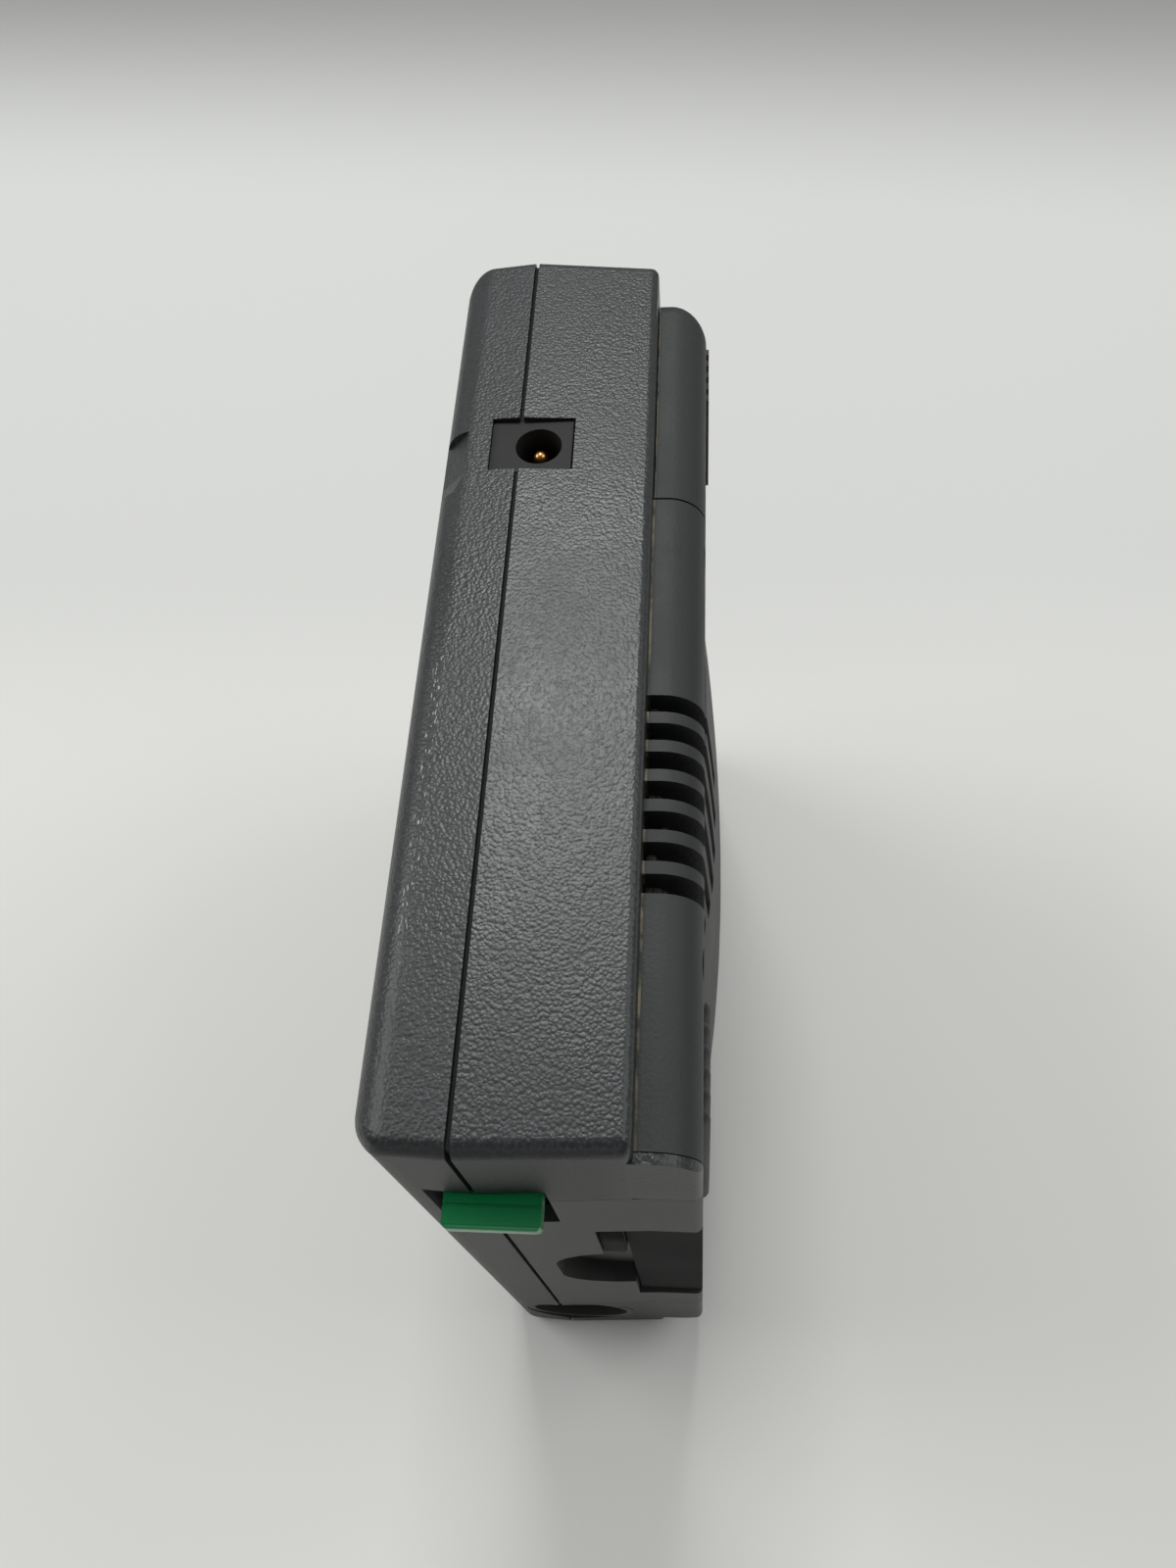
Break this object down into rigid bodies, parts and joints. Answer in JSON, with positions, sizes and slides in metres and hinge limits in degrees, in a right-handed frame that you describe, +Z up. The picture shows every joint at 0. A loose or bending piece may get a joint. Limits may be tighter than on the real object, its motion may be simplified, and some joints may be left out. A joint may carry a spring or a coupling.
{
  "type": "handheld data collector",
  "caption": "Handheld field data collector with drafted shells, louvred back cover, sliding battery door, green slide switch tab, key grid, display window, DC inlet and data port.",
  "frame": {"origin": "middle of the long edge that the object stands on, on the surface it stands on", "axes": "+X from the key face to the back cover, +Y from the slide-switch end to the display end, +Z up from the standing edge"},
  "size_m": [0.0399, 0.1351, 0.139],
  "materials": {
    "grained_abs": "pebble-grained moulded ABS",
    "panel_abs": "finely grained moulded ABS",
    "satin_abs": "satin moulded ABS",
    "seal_rubber": "black cord",
    "steel": "nickel-plated",
    "black_nylon": "moulded",
    "gold_pins": "gold-flashed",
    "jack_pbt": "fine satin",
    "brass_pin": "turned",
    "window_acrylic": "clear acrylic",
    "foam": "closed-cell foam",
    "lcd_glass": "reflective liquid crystal cell",
    "white_plastic": "light guide",
    "silicone": "moulded",
    "fr4": "solder mask",
    "chip_epoxy": "moulded epoxy",
    "cell_sleeve": "printed shrink sleeve, plain",
    "card_plastic": "satin moulded end cap on a coated card",
    "green_abs": "glossy moulded ABS",
    "key_plastic": "satin moulded caps"
  },
  "bodies": {
    "case": {"front_shell": "grained_abs", "rear_shell": "grained_abs", "end_panel": "panel_abs", "back_cover": "satin_abs", "case_seal": "seal_rubber", "strap_cup": "panel_abs", "strap_bar": "steel", "slide_switch": "black_nylon", "data_port_shell": "steel", "data_port_insert": "black_nylon", "data_port_pins": "gold_pins", "dc_jack_body": "jack_pbt", "dc_jack_pin": "brass_pin", "display_window": "window_acrylic", "lcd_gasket": "foam", "lcd_panel": "lcd_glass", "lcd_backlight": "white_plastic", "keypad_mat": "silicone", "main_board": "fr4", "board_chips": "chip_epoxy", "backup_cell_holder": "black_nylon", "backup_cell": "steel", "speaker": "black_nylon", "card_socket": "black_nylon", "battery_tray": "black_nylon", "battery_cell_1": "cell_sleeve", "battery_cell_2": "cell_sleeve", "battery_cell_3": "cell_sleeve", "battery_cell_4": "cell_sleeve", "battery_contacts": "steel", "case_screws": "steel", "cover_screws": "steel"},
    "power_slide": {"power_tab": "green_abs", "slide_carrier": "black_nylon"},
    "battery_door": {"battery_door": "satin_abs"},
    "memory_card": {"memory_card": "card_plastic"},
    "key_r1c1_cap": {"key_r1c1": "key_plastic"},
    "key_r1c2_cap": {"key_r1c2": "key_plastic"},
    "key_r1c3_cap": {"key_r1c3": "key_plastic"},
    "key_r1c4_cap": {"key_r1c4": "key_plastic"},
    "key_r1c5_cap": {"key_r1c5": "key_plastic"},
    "key_r1c6_cap": {"key_r1c6": "key_plastic"},
    "key_r2c1_cap": {"key_r2c1": "key_plastic"},
    "key_r2c2_cap": {"key_r2c2": "key_plastic"},
    "key_r2c3_cap": {"key_r2c3": "key_plastic"},
    "key_r2c4_cap": {"key_r2c4": "key_plastic"},
    "key_r2c5_cap": {"key_r2c5": "key_plastic"},
    "key_r2c6_cap": {"key_r2c6": "key_plastic"},
    "key_r3c1_cap": {"key_r3c1": "key_plastic"},
    "key_r3c2_cap": {"key_r3c2": "key_plastic"},
    "key_r3c3_cap": {"key_r3c3": "key_plastic"},
    "key_r3c4_cap": {"key_r3c4": "key_plastic"},
    "key_r3c5_cap": {"key_r3c5": "key_plastic"},
    "key_r3c6_cap": {"key_r3c6": "key_plastic"},
    "key_r4c1_cap": {"key_r4c1": "key_plastic"},
    "key_r4c2_cap": {"key_r4c2": "key_plastic"},
    "key_r4c3_cap": {"key_r4c3": "key_plastic"},
    "key_r4c4_cap": {"key_r4c4": "key_plastic"},
    "key_r4c5_cap": {"key_r4c5": "key_plastic"},
    "key_r4c6_cap": {"key_r4c6": "key_plastic"}
  },
  "joints": [
    {"name": "power_slide", "type": "slide", "parent": "case", "child": "power_slide", "axis": [0, 0, -1], "range_m": [0, 0.012]},
    {"name": "battery_door_slide", "type": "slide", "parent": "case", "child": "battery_door", "axis": [0, 1, 0], "range_m": [0, 0.04]},
    {"name": "memory_card_slide", "type": "slide", "parent": "case", "child": "memory_card", "axis": [0, -1, 0], "range_m": [0, 0.04]},
    {"name": "key_r1c1_press", "type": "slide", "parent": "case", "child": "key_r1c1_cap", "axis": [1, 0, 0], "range_m": [0, 0.0012], "stiffness_N_per_m": 800},
    {"name": "key_r1c2_press", "type": "slide", "parent": "case", "child": "key_r1c2_cap", "axis": [1, 0, 0], "range_m": [0, 0.0012], "stiffness_N_per_m": 800},
    {"name": "key_r1c3_press", "type": "slide", "parent": "case", "child": "key_r1c3_cap", "axis": [1, 0, 0], "range_m": [0, 0.0012], "stiffness_N_per_m": 800},
    {"name": "key_r1c4_press", "type": "slide", "parent": "case", "child": "key_r1c4_cap", "axis": [1, 0, 0], "range_m": [0, 0.0012], "stiffness_N_per_m": 800},
    {"name": "key_r1c5_press", "type": "slide", "parent": "case", "child": "key_r1c5_cap", "axis": [1, 0, 0], "range_m": [0, 0.0012], "stiffness_N_per_m": 800},
    {"name": "key_r1c6_press", "type": "slide", "parent": "case", "child": "key_r1c6_cap", "axis": [1, 0, 0], "range_m": [0, 0.0012], "stiffness_N_per_m": 800},
    {"name": "key_r2c1_press", "type": "slide", "parent": "case", "child": "key_r2c1_cap", "axis": [1, 0, 0], "range_m": [0, 0.0012], "stiffness_N_per_m": 800},
    {"name": "key_r2c2_press", "type": "slide", "parent": "case", "child": "key_r2c2_cap", "axis": [1, 0, 0], "range_m": [0, 0.0012], "stiffness_N_per_m": 800},
    {"name": "key_r2c3_press", "type": "slide", "parent": "case", "child": "key_r2c3_cap", "axis": [1, 0, 0], "range_m": [0, 0.0012], "stiffness_N_per_m": 800},
    {"name": "key_r2c4_press", "type": "slide", "parent": "case", "child": "key_r2c4_cap", "axis": [1, 0, 0], "range_m": [0, 0.0012], "stiffness_N_per_m": 800},
    {"name": "key_r2c5_press", "type": "slide", "parent": "case", "child": "key_r2c5_cap", "axis": [1, 0, 0], "range_m": [0, 0.0012], "stiffness_N_per_m": 800},
    {"name": "key_r2c6_press", "type": "slide", "parent": "case", "child": "key_r2c6_cap", "axis": [1, 0, 0], "range_m": [0, 0.0012], "stiffness_N_per_m": 800},
    {"name": "key_r3c1_press", "type": "slide", "parent": "case", "child": "key_r3c1_cap", "axis": [1, 0, 0], "range_m": [0, 0.0012], "stiffness_N_per_m": 800},
    {"name": "key_r3c2_press", "type": "slide", "parent": "case", "child": "key_r3c2_cap", "axis": [1, 0, 0], "range_m": [0, 0.0012], "stiffness_N_per_m": 800},
    {"name": "key_r3c3_press", "type": "slide", "parent": "case", "child": "key_r3c3_cap", "axis": [1, 0, 0], "range_m": [0, 0.0012], "stiffness_N_per_m": 800},
    {"name": "key_r3c4_press", "type": "slide", "parent": "case", "child": "key_r3c4_cap", "axis": [1, 0, 0], "range_m": [0, 0.0012], "stiffness_N_per_m": 800},
    {"name": "key_r3c5_press", "type": "slide", "parent": "case", "child": "key_r3c5_cap", "axis": [1, 0, 0], "range_m": [0, 0.0012], "stiffness_N_per_m": 800},
    {"name": "key_r3c6_press", "type": "slide", "parent": "case", "child": "key_r3c6_cap", "axis": [1, 0, 0], "range_m": [0, 0.0012], "stiffness_N_per_m": 800},
    {"name": "key_r4c1_press", "type": "slide", "parent": "case", "child": "key_r4c1_cap", "axis": [1, 0, 0], "range_m": [0, 0.0012], "stiffness_N_per_m": 800},
    {"name": "key_r4c2_press", "type": "slide", "parent": "case", "child": "key_r4c2_cap", "axis": [1, 0, 0], "range_m": [0, 0.0012], "stiffness_N_per_m": 800},
    {"name": "key_r4c3_press", "type": "slide", "parent": "case", "child": "key_r4c3_cap", "axis": [1, 0, 0], "range_m": [0, 0.0012], "stiffness_N_per_m": 800},
    {"name": "key_r4c4_press", "type": "slide", "parent": "case", "child": "key_r4c4_cap", "axis": [1, 0, 0], "range_m": [0, 0.0012], "stiffness_N_per_m": 800},
    {"name": "key_r4c5_press", "type": "slide", "parent": "case", "child": "key_r4c5_cap", "axis": [1, 0, 0], "range_m": [0, 0.0012], "stiffness_N_per_m": 800},
    {"name": "key_r4c6_press", "type": "slide", "parent": "case", "child": "key_r4c6_cap", "axis": [1, 0, 0], "range_m": [0, 0.0012], "stiffness_N_per_m": 800}
  ]
}
